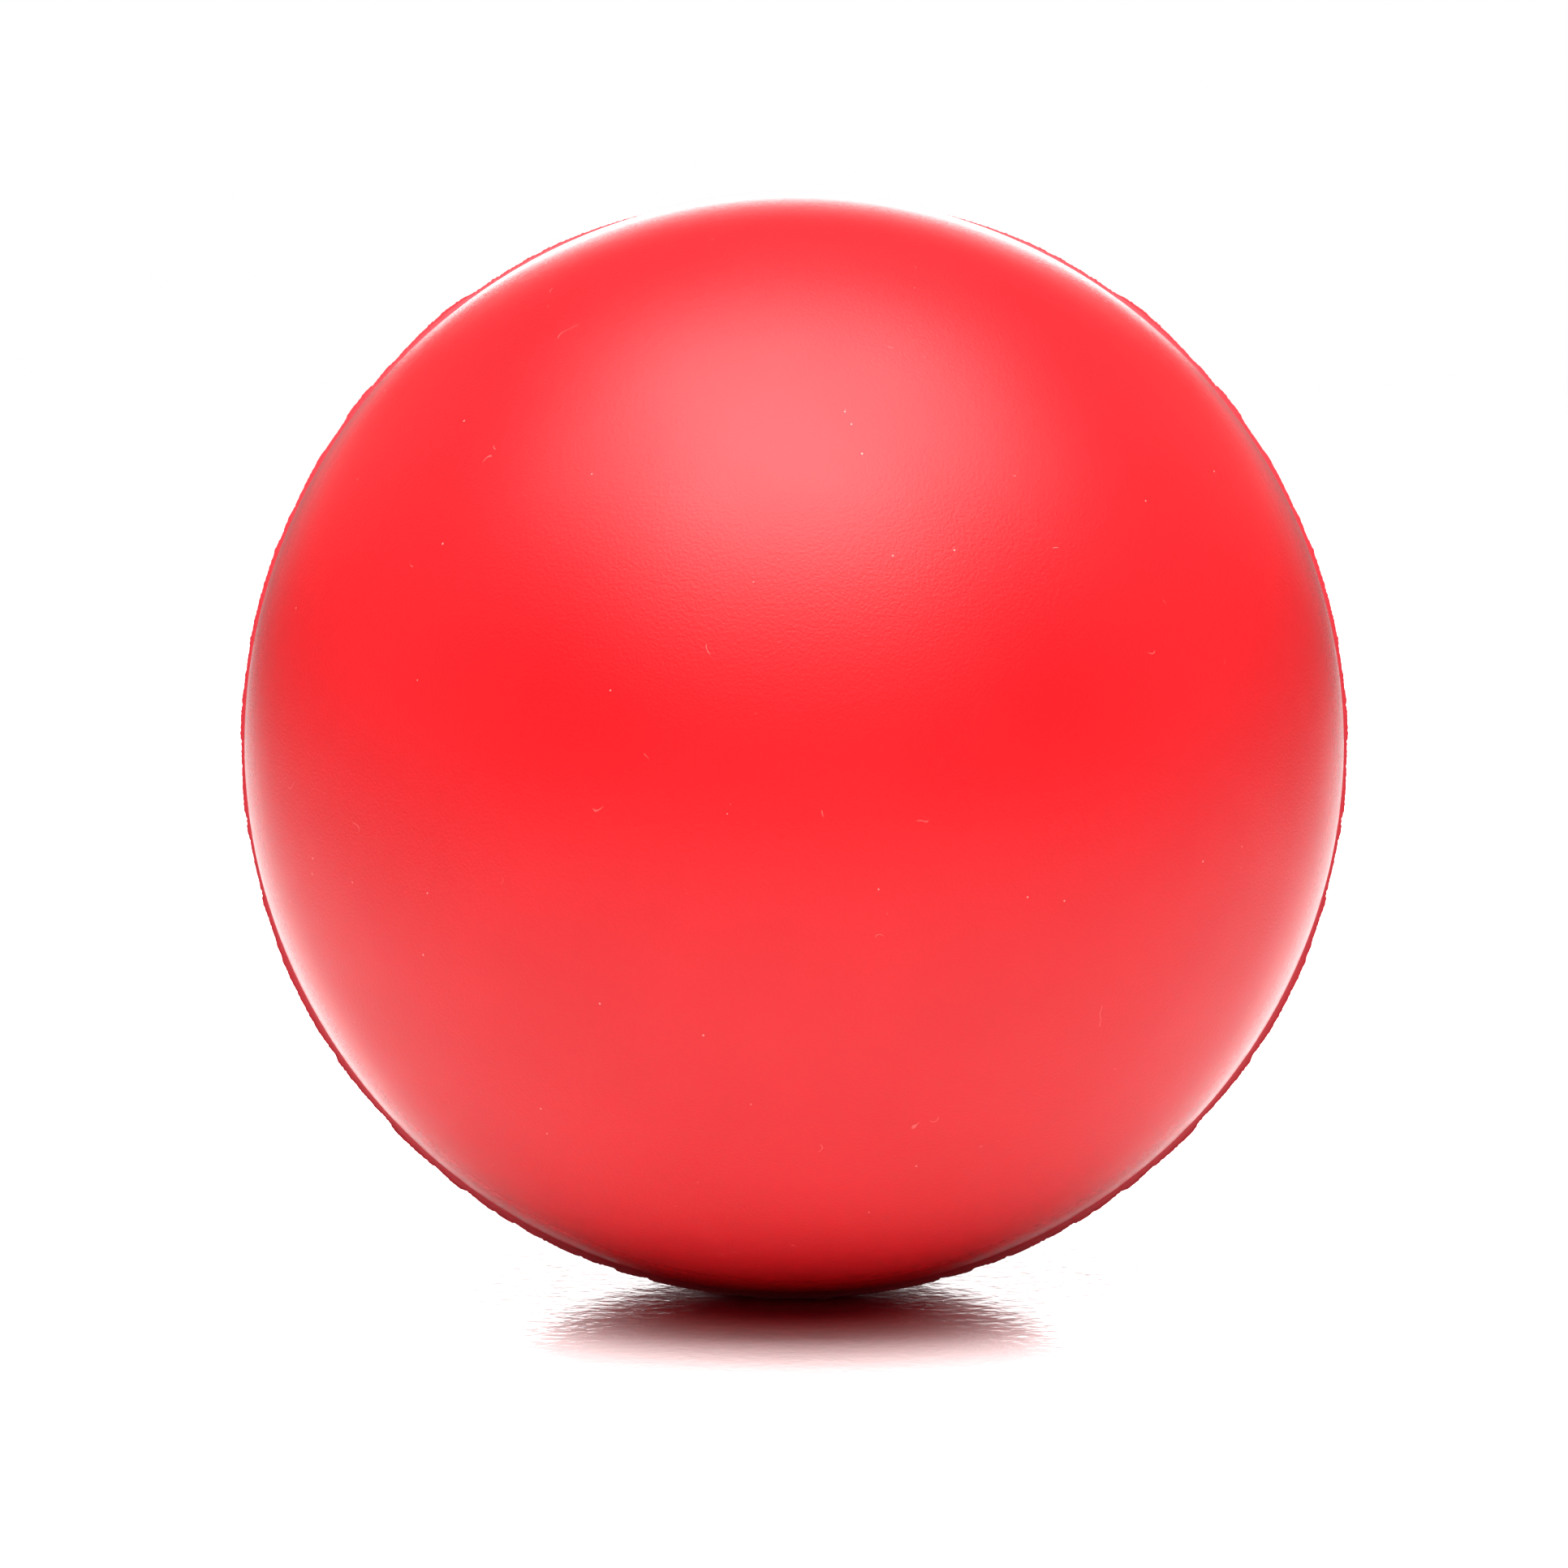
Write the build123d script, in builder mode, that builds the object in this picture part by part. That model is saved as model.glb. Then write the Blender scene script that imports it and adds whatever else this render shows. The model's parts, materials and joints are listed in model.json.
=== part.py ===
"""Inflated playground ball: a two-ply rubber cover on a nylon-wound butyl bladder, with a needle valve.

The ball is built up in layers round a butyl bladder that holds the air. Nylon thread is wound over
the bladder, two rubber linings go over the thread, and two red covers go over the linings. The
covers meet at the parting line of the mould, where the rubber that is squeezed out between them
stands proud as a lip and is trimmed with a knife. A rubber valve is bonded into the rear pole.

Frame: millimetres, origin at the centre of the ball, +Z up. The ball is set down as it comes to
rest, leaning forwards on its lip, so that the lip and the sphere touch the floor together. The
valve looks backwards, along +Y, and down by the angle of that lean.
"""

from math import acos, atan2, cos, degrees, hypot, radians, sin, sqrt
import os

from build123d import *

# The ball and its layers, from the outside in.
ball_diameter = 215.9  # the 8.5 inch school size
cover_ply = 0.9
lining_ply = 0.7
winding_depth = 0.3
bladder_wall = 0.7

# The joint between the two covers, and the lip that stands out of it.
bead_width = 2.0
lip_height = 1.5
lip_crest = 0.9
seam_stagger = 12.0  # the linings meet this far in front of the covers' joint

# The valve housing, bonded into the bladder.
barrel_radius = 5.0
barrel_end_wall = 1.5
end_hole_radius = 1.6
flange_radius = 17.0
flange_thickness = 1.2
flange_lip = 0.35  # what is left of the flange's thickness at its skived edge
patch_radius = 22.0
witness_radius = 11.0  # the ring that the mould's valve locator leaves in the cover
witness_groove = 0.3

# The plug that fills the housing, and the soft core in its end.
plug_head_radius = 3.5
plug_head_thickness = 1.4
plug_stem_radius = 2.4
plug_stem_length = 16.0
plug_end_chamfer = 0.5
plug_head_round = 0.35
plug_sink = 0.2  # how far the plug's face lies under the top of the ball's curve
needle_radius = 0.95
funnel_radius = 1.8
funnel_angle = 90.0
core_length = 5.0
core_sleeve_wall = 0.8  # the plug's wall round its core
head_clearance = 0.1
stem_clearance = 0.05
end_clearance = 2.9

# Radii of the faces between the layers.
ball_radius = ball_diameter / 2
lining_outer = ball_radius - cover_ply
winding_outer = lining_outer - lining_ply
bladder_outer = winding_outer - winding_depth
bladder_inner = bladder_outer - bladder_wall

# Sizes that the valve's pieces take from each other.
plug_length = plug_head_thickness + plug_stem_length
core_radius = plug_stem_radius - core_sleeve_wall
housing_depth = plug_sink + plug_length + end_clearance
barrel_length = housing_depth + barrel_end_wall

# The lean at which the sphere and the rear corner of the lip's crest both reach the floor.
crest_radius = ball_radius + lip_height
crest_corner = hypot(crest_radius, lip_crest / 2)
lean = degrees(acos(ball_radius / crest_corner) + atan2(lip_crest / 2, crest_radius))

# Each piece is turned about the valve's axis. A section's X runs out from that axis and its Y
# runs along it, towards the valve.
valve_direction = Vector(0, cos(radians(lean)), -sin(radians(lean)))
valve_axis = Axis((0, 0, 0), valve_direction)
section = Plane((0, 0, 0), x_dir=(1, 0, 0), z_dir=(0, sin(radians(lean)), cos(radians(lean))))
across_valve = Plane((0, 0, 0), x_dir=(1, 0, 0), z_dir=valve_direction)
valve_mouth = across_valve.offset(ball_radius)
reach = ball_diameter  # longer than anything that it trims

os.makedirs("parts", exist_ok=True)


def shell_section(outer, inner):
    """A ring between two circles about the centre, on the side of the axis that is turned."""
    Circle(outer)
    Circle(inner, mode=Mode.SUBTRACT)
    with Locations((reach / 2, 0)):
        Rectangle(reach, 2 * reach, mode=Mode.INTERSECT)


def trim_in_front_of(height):
    """Cuts away what lies in front of a height along the valve's axis."""
    with Locations((0, height - reach / 2)):
        Rectangle(3 * reach, reach, mode=Mode.SUBTRACT)


def trim_behind(height):
    """Cuts away what lies behind a height along the valve's axis."""
    with Locations((0, height + reach / 2)):
        Rectangle(3 * reach, reach, mode=Mode.SUBTRACT)


def trim_valve_hole(radius):
    """Cuts a hole of a radius through the rear pole."""
    with Locations((0, reach / 2)):
        Rectangle(2 * radius, reach, mode=Mode.SUBTRACT)


# Bladder: the butyl balloon that holds the air, open where the valve goes through it.
with BuildPart() as bladder:
    with BuildSketch(section):
        shell_section(bladder_outer, bladder_inner)
        trim_valve_hole(barrel_radius)
    revolve(axis=valve_axis)
bladder.part.label = "bladder"
export_step(bladder.part, "parts/bladder.step")

# Winding: the layer of nylon thread, which is wound clear of the valve.
with BuildPart() as nylon_winding:
    with BuildSketch(section):
        shell_section(winding_outer, bladder_outer)
        trim_valve_hole(patch_radius)
    revolve(axis=valve_axis)
nylon_winding.part.label = "nylon_winding"
export_step(nylon_winding.part, "parts/nylon_winding.step")

# Patch: the gum washer that fills the winding's opening round the valve.
with BuildPart() as valve_patch:
    with BuildSketch(section):
        shell_section(winding_outer, bladder_outer)
        trim_in_front_of(0)
        trim_valve_hole(barrel_radius)
        with Locations((patch_radius / 2, reach / 2)):
            Rectangle(patch_radius, reach, mode=Mode.INTERSECT)
    revolve(axis=valve_axis)
valve_patch.part.label = "valve_patch"
export_step(valve_patch.part, "parts/valve_patch.step")

# Linings: the inner ply of the cover, in two cups whose joint is clear of the covers' joint.
with BuildPart() as front_lining:
    with BuildSketch(section):
        shell_section(lining_outer, winding_outer)
        trim_behind(-seam_stagger)
    revolve(axis=valve_axis)
front_lining.part.label = "front_lining"
export_step(front_lining.part, "parts/front_lining.step")

with BuildPart() as rear_lining:
    with BuildSketch(section):
        shell_section(lining_outer, winding_outer)
        trim_in_front_of(-seam_stagger)
        trim_valve_hole(barrel_radius)
    revolve(axis=valve_axis)
rear_lining.part.label = "rear_lining"
export_step(rear_lining.part, "parts/rear_lining.step")

# Covers: the red outer ply, in two cups that stop at the bead between them.
with BuildPart() as front_cover:
    with BuildSketch(section):
        shell_section(ball_radius, lining_outer)
        trim_behind(-bead_width / 2)
    revolve(axis=valve_axis)
front_cover.part.label = "front_cover"
export_step(front_cover.part, "parts/front_cover.step")

with BuildPart() as rear_cover:
    with BuildSketch(section):
        shell_section(ball_radius, lining_outer)
        trim_in_front_of(bead_width / 2)
        trim_valve_hole(barrel_radius)
        with Locations((witness_radius, sqrt(ball_radius**2 - witness_radius**2))):
            Circle(witness_groove, mode=Mode.SUBTRACT)
    revolve(axis=valve_axis)
rear_cover.part.label = "rear_cover"
export_step(rear_cover.part, "parts/rear_cover.step")

# Bead: the rubber that bonds the two covers and stands out between them as the lip.
bead_shoulder = sqrt(ball_radius**2 - (bead_width / 2) ** 2)
with BuildPart() as seam_bead:
    with BuildSketch(section):
        with BuildLine():
            Polyline(
                (winding_outer, -bead_width / 2),
                (bead_shoulder, -bead_width / 2),
                (crest_radius, -lip_crest / 2),
                (crest_radius, lip_crest / 2),
                (bead_shoulder, bead_width / 2),
                (winding_outer, bead_width / 2),
                close=True,
            )
        make_face()
        Circle(lining_outer, mode=Mode.SUBTRACT)
    revolve(axis=valve_axis)
seam_bead.part.label = "seam_bead"
export_step(seam_bead.part, "parts/seam_bead.step")

# Valve housing: a barrel through all the layers, with a skived flange bonded inside the bladder.
flange_edge = sqrt(bladder_inner**2 - flange_radius**2)
barrel_bottom = ball_radius - barrel_length
with BuildPart() as valve_housing:
    with BuildSketch(section):
        Circle(ball_radius)
        with Locations((barrel_radius / 2, barrel_bottom + reach / 2)):
            Rectangle(barrel_radius, reach, mode=Mode.INTERSECT)
    revolve(axis=valve_axis)
    with BuildSketch(section):
        with BuildLine():
            Polyline(
                (0, ball_radius),
                (flange_radius, ball_radius),
                (flange_radius, flange_edge - flange_lip),
                (barrel_radius, bladder_inner - flange_thickness),
                (0, bladder_inner - flange_thickness),
                close=True,
            )
        make_face()
        Circle(bladder_inner, mode=Mode.INTERSECT)
    revolve(axis=valve_axis)
    with Locations(valve_mouth):
        CounterBoreHole(
            radius=plug_stem_radius + stem_clearance,
            counter_bore_radius=plug_head_radius + head_clearance,
            counter_bore_depth=plug_sink + plug_head_thickness,
            depth=housing_depth,
        )
        Hole(radius=end_hole_radius, depth=barrel_length)
valve_housing.part.label = "valve_housing"
export_step(valve_housing.part, "parts/valve_housing.step")

# Plug: a headed rubber stopper with a needle hole that leads to the pocket of its core.
plug_face = valve_mouth.offset(-plug_sink)
plug_neck = plug_face.offset(-plug_head_thickness)
plug_end = plug_neck.offset(-plug_stem_length)
with BuildPart() as valve_plug:
    with BuildSketch(plug_face):
        Circle(plug_head_radius)
    extrude(amount=-plug_head_thickness)
    head_rim = valve_plug.edges().sort_by(valve_axis)[-1]
    fillet(head_rim, radius=plug_head_round)
    with BuildSketch(plug_neck):
        Circle(plug_stem_radius)
    extrude(amount=-plug_stem_length)
    stem_rim = valve_plug.edges().sort_by(valve_axis)[0]
    chamfer(stem_rim, length=plug_end_chamfer)
    with BuildSketch(plug_end):
        Circle(core_radius)
    extrude(amount=core_length, mode=Mode.SUBTRACT)
    with Locations(plug_face):
        CounterSinkHole(
            radius=needle_radius,
            counter_sink_radius=funnel_radius,
            counter_sink_angle=funnel_angle,
            depth=plug_length - core_length / 2,
        )
valve_plug.part.label = "valve_plug"
export_step(valve_plug.part, "parts/valve_plug.step")

# Core: the soft butyl in the plug's end, whose pricked hole closes behind the needle.
with BuildPart() as plug_core:
    with BuildSketch(plug_end):
        Circle(core_radius)
    extrude(amount=core_length)
plug_core.part.label = "plug_core"
export_step(plug_core.part, "parts/plug_core.step")

print(f"lean {lean:.3f} degrees")
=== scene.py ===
"""The looks of an inflated rubber playground ball, built round its fixed frame.

The ball stands on a pale glossy floor in soft studio light, leaning forwards on the lip of its
parting line. Every shape is a surface of revolution or a carried profile about the valve's axis,
which the frame gives. Lengths are in metres, and the origin is the centre of the ball.
"""

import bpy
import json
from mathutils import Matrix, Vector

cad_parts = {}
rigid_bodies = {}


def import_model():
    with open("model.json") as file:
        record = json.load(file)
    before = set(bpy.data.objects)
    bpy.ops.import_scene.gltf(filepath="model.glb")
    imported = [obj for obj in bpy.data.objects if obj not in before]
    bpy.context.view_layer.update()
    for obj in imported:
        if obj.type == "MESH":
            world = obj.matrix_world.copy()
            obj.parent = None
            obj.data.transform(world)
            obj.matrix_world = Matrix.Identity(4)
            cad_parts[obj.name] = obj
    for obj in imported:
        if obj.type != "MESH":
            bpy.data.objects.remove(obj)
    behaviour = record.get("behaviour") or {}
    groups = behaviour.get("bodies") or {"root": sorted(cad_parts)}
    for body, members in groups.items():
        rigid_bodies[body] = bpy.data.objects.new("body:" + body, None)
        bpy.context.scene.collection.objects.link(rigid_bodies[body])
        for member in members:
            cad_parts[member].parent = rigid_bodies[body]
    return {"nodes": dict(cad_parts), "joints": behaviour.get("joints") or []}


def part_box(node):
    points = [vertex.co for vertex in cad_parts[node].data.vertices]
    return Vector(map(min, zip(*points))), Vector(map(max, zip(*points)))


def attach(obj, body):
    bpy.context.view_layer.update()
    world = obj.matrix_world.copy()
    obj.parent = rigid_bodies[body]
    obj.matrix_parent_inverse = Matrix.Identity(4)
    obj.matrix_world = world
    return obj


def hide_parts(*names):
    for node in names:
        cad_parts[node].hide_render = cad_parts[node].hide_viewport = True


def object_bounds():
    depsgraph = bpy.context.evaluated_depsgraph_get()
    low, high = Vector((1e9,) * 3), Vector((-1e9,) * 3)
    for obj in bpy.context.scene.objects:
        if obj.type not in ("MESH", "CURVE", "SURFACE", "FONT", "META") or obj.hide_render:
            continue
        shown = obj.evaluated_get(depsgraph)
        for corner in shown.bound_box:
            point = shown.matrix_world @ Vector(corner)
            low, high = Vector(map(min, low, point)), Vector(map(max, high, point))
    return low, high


bl_info = {
    "name": "Playground Ball",
    "version": (1, 0, 0),
    "blender": (4, 5, 0),
    "location": "3D View > Sidebar > Playground Ball",
    "description": "Builds a moulded rubber playground ball, its parting line, its valve and its stage",
    "category": "Add Mesh",
}

import json
from math import acos, asin, cos, pi, radians, sin, sqrt, tan

import bpy
import numpy as np
from bpy.props import FloatProperty, FloatVectorProperty, IntProperty, PointerProperty
from bpy.types import Operator, Panel, PropertyGroup
from mathutils import Vector

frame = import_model()
CAD_LOW, CAD_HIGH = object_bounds()

# The one joint pulls the plug out along the valve's axis, so it gives the axis and both bodies.
PLUG_JOINT = frame["joints"][0]
BALL_BODY = PLUG_JOINT["parent"]
PLUG_BODY = PLUG_JOINT["child"]
VALVE_AXIS = np.array(PLUG_JOINT["axis"])
ACROSS = np.array([1.0, 0.0, 0.0])
SEAM_TOP = np.cross(ACROSS, VALVE_AXIS)  # from the centre to the top of the parting line
BALL_RADIUS = CAD_HIGH.y
CREST_RADIUS = CAD_HIGH.x
LINING_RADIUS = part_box("rear_lining")[1].x
WINDING_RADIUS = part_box("nylon_winding")[1].x
BLADDER_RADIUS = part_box("bladder")[1].x
FLOOR_HEIGHT = CAD_LOW.z
MM = 0.001
WHITE = (1.0, 1.0, 1.0, 1.0)
CENTRE = (0.0, 0.0, 0.0)


def length(name, description, default):
    """A length that a user would change, in metres."""
    return FloatProperty(name=name, description=description, default=default, unit="LENGTH")


def angular(name, description, default):
    """An angle, in radians."""
    return FloatProperty(name=name, description=description, default=default, subtype="ANGLE")


def fraction(name, description, default):
    """A share of a whole, from 0 to 1."""
    return FloatProperty(name=name, description=description, default=default, subtype="FACTOR")


def watts(name, description, default):
    """The power of a light."""
    return FloatProperty(name=name, description=description, default=default, unit="POWER")


def number(name, description, default):
    """A number without a unit."""
    return FloatProperty(name=name, description=description, default=default)


def whole(name, description, default):
    """A whole number."""
    return IntProperty(name=name, description=description, default=default)


def tint(name, description, default):
    """A colour, as linear red, green and blue."""
    return FloatVectorProperty(name=name, description=description, default=default, subtype="COLOR",
                               size=3, min=0.0, max=1.0)


class CoverSizes(PropertyGroup):
    bead_width: length("Bead width", "Gap between the covers that the parting bead fills", 2.0 * MM)
    waviness: length("Waviness", "How far the skin dips below a true sphere", 0.04 * MM)
    valve_hole: length("Valve hole", "Radius of the hole round the valve housing", 5.0 * MM)
    hole_round: length("Hole rounding", "Rounding of the hole's rim", 0.25 * MM)
    witness_radius: length("Witness ring", "Radius of the mould's ring round the valve", 11.0 * MM)
    witness_groove: length("Witness groove", "Depth and half width of that ring", 0.3 * MM)


class LipSizes(PropertyGroup):
    crest_width: length("Crest width", "Width of the lip where the knife cut it", 0.9 * MM)
    facet: angular("Facet", "Mean length of one knife cut, as an angle", radians(2.8))
    unevenness: fraction("Unevenness", "Scatter of the cuts' heights, as a share", 0.24)
    raggedness: length("Raggedness", "Height of the small tears along the crest", 0.06 * MM)
    lowest: length("Lowest", "The lip is nowhere lower than this", 0.12 * MM)
    seed: whole("Seed", "Seed of the knife cuts", 7)


class ValveSizes(PropertyGroup):
    barrel_radius: length("Barrel radius", "Radius of the housing's barrel", 5.0 * MM)
    barrel_length: length("Barrel length", "From the ball's skin to the barrel's end", 22.0 * MM)
    end_wall: length("End wall", "Thickness of the barrel's end", 1.5 * MM)
    end_hole: length("End hole", "Radius of the air hole in the barrel's end", 1.6 * MM)
    flange_radius: length("Flange radius", "Radius of the flange inside the bladder", 17.0 * MM)
    flange_thickness: length("Flange thickness", "Thickness of the flange at the barrel", 1.2 * MM)
    flange_edge: length("Flange edge", "Thickness of the flange at its rim", 0.35 * MM)
    sink: length("Sink", "How far the plug's face lies below the skin", 0.2 * MM)
    head_radius: length("Head radius", "Radius of the plug's head", 3.5 * MM)
    head_thickness: length("Head thickness", "Thickness of the plug's head", 1.4 * MM)
    stem_radius: length("Stem radius", "Radius of the plug's stem", 2.4 * MM)
    stem_length: length("Stem length", "Length of the plug's stem", 16.0 * MM)
    core_radius: length("Core radius", "Radius of the pocket for the soft core", 1.6 * MM)
    core_length: length("Core length", "Depth of that pocket", 5.0 * MM)
    needle_radius: length("Needle radius", "Radius of the needle's hole", 0.95 * MM)
    funnel_radius: length("Funnel radius", "Radius of the needle hole's mouth", 1.8 * MM)
    bladder_wall: length("Bladder wall", "Thickness of the bladder, which the flange lies under", 0.7 * MM)
    head_gap: length("Head gap", "Gap round the plug's head", 0.1 * MM)
    stem_gap: length("Stem gap", "Gap round the plug's stem", 0.05 * MM)


class WindingSizes(PropertyGroup):
    turns: whole("Turns", "How often the thread goes round the bladder", 118)
    thread: length("Thread", "Diameter of the nylon thread", 0.26 * MM)
    clear_radius: length("Clear radius", "The thread stays this far from the valve's axis", 22.0 * MM)


class RubberLook(PropertyGroup):
    red: tint("Red", "Colour of the moulded skin", (0.50, 0.0026, 0.0070))
    cut_red: tint("Cut red", "Colour where the knife cut the lip", (0.43, 0.035, 0.05))
    roughness: fraction("Roughness", "Roughness of the moulded skin", 0.45)
    edge_roughness: fraction("Edge roughness", "Roughness of the skin seen at a low angle", 0.18)
    ior: number("IOR", "Index of refraction of the skin, which sets its gloss", 1.4)
    grain: length("Grain", "Size of the skin's fine grain", 0.55 * MM)
    grain_depth: length("Grain depth", "Depth of the skin's fine grain", 0.065 * MM)
    marks: fraction("Marks", "How strongly the dust and the hairs show", 0.45)


class StageSizes(PropertyGroup):
    camera_distance: length("Camera distance", "From the ball's centre to the lens", 16 * BALL_RADIUS)
    camera_elevation: angular("Camera elevation", "Angle above the floor", radians(9.0))
    ball_share: fraction("Ball share", "The ball's share of the view's width", 0.7013)
    aim_drop: length("Aim drop", "How far under the ball's centre the camera aims", 8.1 * MM)
    aim_left: length("Aim left", "How far left of the ball's centre the camera aims", 2.0 * MM)
    gamma: number("Gamma", "Gamma of the view, with more contrast below 1", 0.9)
    floor_radius: length("Floor radius", "Radius of the floor", 1.6)
    floor_solid: length("Solid radius", "Radius out to which the floor hasn't begun to fade", 0.7)
    dimple: length("Dimple", "Size of the dimples in the floor", 3.0 * MM)
    dimple_depth: length("Dimple depth", "Depth of the dimples in the floor", 0.13 * MM)
    # Painted light: the floor under the ball takes a dark crimson colour, which is a painted contact shadow
    # with painted red bounce light from the ball.
    painted_bounce_shade: tint("Bounce red", "Colour of the floor under the ball", (0.92, 0.04, 0.07))
    painted_shade_core: length("Bounce core", "The floor is that red out to here", 1.032 * BALL_RADIUS)
    painted_shade_edge: length("Bounce edge", "The red of the floor ends here", 1.12 * BALL_RADIUS)
    front_power: watts("Front power", "Power of the front panel", 4.0)
    lower_key_power: watts("Lower key power", "Power of the key's lower box", 24.0)
    key_power: watts("Key power", "Power of the key's wide box", 22.5)
    top_power: watts("Top power", "Power of the box overhead", 11.5)
    low_wall_power: watts("Low wall power", "Power of the backdrop's foot", 7.8)
    high_wall_power: watts("High wall power", "Power of the backdrop above it", 4.0)
    wide_wall_power: watts("Wide wall power", "Power of each wing of the backdrop's foot", 1.4)
    side_power: watts("Side power", "Power of each side panel", 3.4)
    rear_power: watts("Rear power", "Power of each rear panel", 2.0)
    fill: number("Fill", "Strength of the room's dim light from above", 0.2)
    fill_rise: number("Fill rise", "Sine of the height at which the fill is full", 0.5)
    glow: number("Glow", "Strength of the light from the white sweep beyond the floor", 0.35)


# Meshes --------------------------------------------------------------------------------------


def skin(name, grid, wraps):
    """Makes a mesh from a grid of points, rows by columns, whose columns close on themselves.

    If wraps is true the last row joins the first, as on a ring. Otherwise the first and the last
    row are poles, and each is closed by a fan about its one point. A shape that comes out with a
    negative volume is turned inside out, so its faces always point outwards.
    """
    rows, columns, _ = grid.shape
    index = np.arange(rows * columns).reshape(rows, columns)
    upper, lower = (index, np.roll(index, -1, axis=0)) if wraps else (index[1:-2], index[2:-1])
    quads = np.stack([upper, np.roll(upper, -1, 1), np.roll(lower, -1, 1), lower], axis=-1)
    faces = [quads.reshape(-1, 4)]
    if not wraps:
        first, last = index[1], index[-2]
        faces.append(np.stack([np.full(columns, index[0, 0]), np.roll(first, -1), first], axis=-1))
        faces.append(np.stack([last, np.roll(last, -1), np.full(columns, index[-1, 0])], axis=-1))
    points = grid.reshape(-1, 3)
    corners = [points[f] for f in faces]
    volume = sum(np.einsum("ij,ij->", c[:, 0], np.cross(c[:, i], c[:, i + 1]))
                 for c in corners for i in range(1, c.shape[1] - 1))
    if volume < 0:
        faces = [f[:, ::-1] for f in faces]
    used, flat = np.unique(np.concatenate([f.ravel() for f in faces]), return_inverse=True)
    sizes = np.concatenate([np.full(len(f), f.shape[1]) for f in faces])
    mesh = bpy.data.meshes.new(name)
    mesh.vertices.add(len(used))
    mesh.vertices.foreach_set("co", points[used].ravel())
    mesh.loops.add(len(flat))
    mesh.loops.foreach_set("vertex_index", flat.ravel())
    mesh.polygons.add(len(sizes))
    mesh.polygons.foreach_set("loop_start", np.concatenate([[0], np.cumsum(sizes)[:-1]]))
    mesh.polygons.foreach_set("use_smooth", np.ones(len(sizes), bool))
    mesh.update(calc_edges=True)
    mesh.validate()
    piece = bpy.data.objects.new(name, mesh)
    bpy.context.scene.collection.objects.link(piece)
    return piece, used


def turned(profile, columns=480):
    """A grid of points: a profile of (distance from the axis, height along it), turned about the axis.

    A point is its height times the axis, plus its distance times a direction that turns from the
    top of the seam, through the ball's +X side, to the bottom and back.
    """
    turn = np.linspace(0, 2 * pi, columns, endpoint=False)
    out = np.cos(turn)[:, None] * SEAM_TOP + np.sin(turn)[:, None] * ACROSS
    return profile[:, 0, None, None] * out + profile[:, 1, None, None] * VALVE_AXIS


def arc(radius, start, stop, count):
    """Points of a circle about the centre, as (distance, height), between two angles off the valve."""
    angle = np.linspace(start, stop, count)
    return np.stack([radius * np.sin(angle), radius * np.cos(angle)], axis=-1)


def corner(centre_distance, centre_height, radius, start, stop, count=6):
    """Points of a small rounded corner, between two angles from the outward direction."""
    angle = np.linspace(start, stop, count)
    out = centre_distance + radius * np.cos(angle)
    up = centre_height + radius * np.sin(angle)
    return np.stack([out, up], axis=-1)


def rounded(corners, count=5):
    """An outline of (distance, height) points from corners of (distance, height, rounding).

    A corner with a rounding becomes an arc that touches both of its sides: the points sweep from
    one touching point to the other about the arc's centre. A corner without one stays sharp.
    """
    points = []
    for i, (x, y, radius) in enumerate(corners):
        here = np.array([x, y])
        before = np.array(corners[i - 1][:2]) - here
        after = np.array(corners[(i + 1) % len(corners)][:2]) - here
        before /= np.linalg.norm(before)
        after /= np.linalg.norm(after)
        if not radius:
            points.append(here)
            continue
        half = acos(np.clip(before @ after, -1, 1)) / 2
        middle = here + (before + after) / np.linalg.norm(before + after) * radius / sin(half)
        first = here + before * radius / tan(half) - middle
        last = here + after * radius / tan(half) - middle
        sweep = pi - 2 * half
        points += [middle + (sin((1 - t) * sweep) * first + sin(t * sweep) * last) / sin(sweep)
                   for t in np.linspace(0, 1, count)]
    return np.array(points)


def wavy(grid, depth):
    """Lets the skin dip by up to a depth: the sum of three slow sine waves along fixed directions.

    The dip fades to nothing from the skin to the lining, so the inner wall stays a true sphere.
    """
    ways = np.array([[31.0, 12.0, -22.0], [-17.0, 29.0, 25.0], [9.0, -41.0, 37.0]])  # radians a metre
    wave = sum(np.sin(grid @ way + i) for i, way in enumerate(ways)) / len(ways)
    dip = depth * (wave - 1) / 2
    size = np.linalg.norm(grid, axis=-1)
    outside = np.clip((size - LINING_RADIUS) / (BALL_RADIUS - LINING_RADIUS), 0, 1)
    return grid * (1 + dip * outside / size)[..., None]


def finish_piece(piece, body, material, *nodes, slot, sharp=radians(35)):
    """Gives a piece its body, its material and its hard edges, and hides the nodes that it stands for. The
    slot is not used.
    """
    piece.data.materials.append(material)
    piece.data.set_sharp_from_angle(angle=sharp)
    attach(piece, body)
    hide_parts(*nodes)
    return piece


# Materials -----------------------------------------------------------------------------------


class Value:
    """An output socket, so that shader maths on numbers reads as Python."""

    def __init__(self, look, socket):
        self.look = look
        self.socket = socket

    def math(self, operation, first, second):
        return self.look.node("ShaderNodeMath", {"operation": operation}, {0: first, 1: second})

    def __add__(self, other):
        return self.math("ADD", self, other)

    def __sub__(self, other):
        return self.math("SUBTRACT", self, other)

    def __mul__(self, other):
        return self.math("MULTIPLY", self, other)

    def __rsub__(self, other):
        return self.math("SUBTRACT", other, self)

    __radd__ = __add__
    __rmul__ = __mul__


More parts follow.
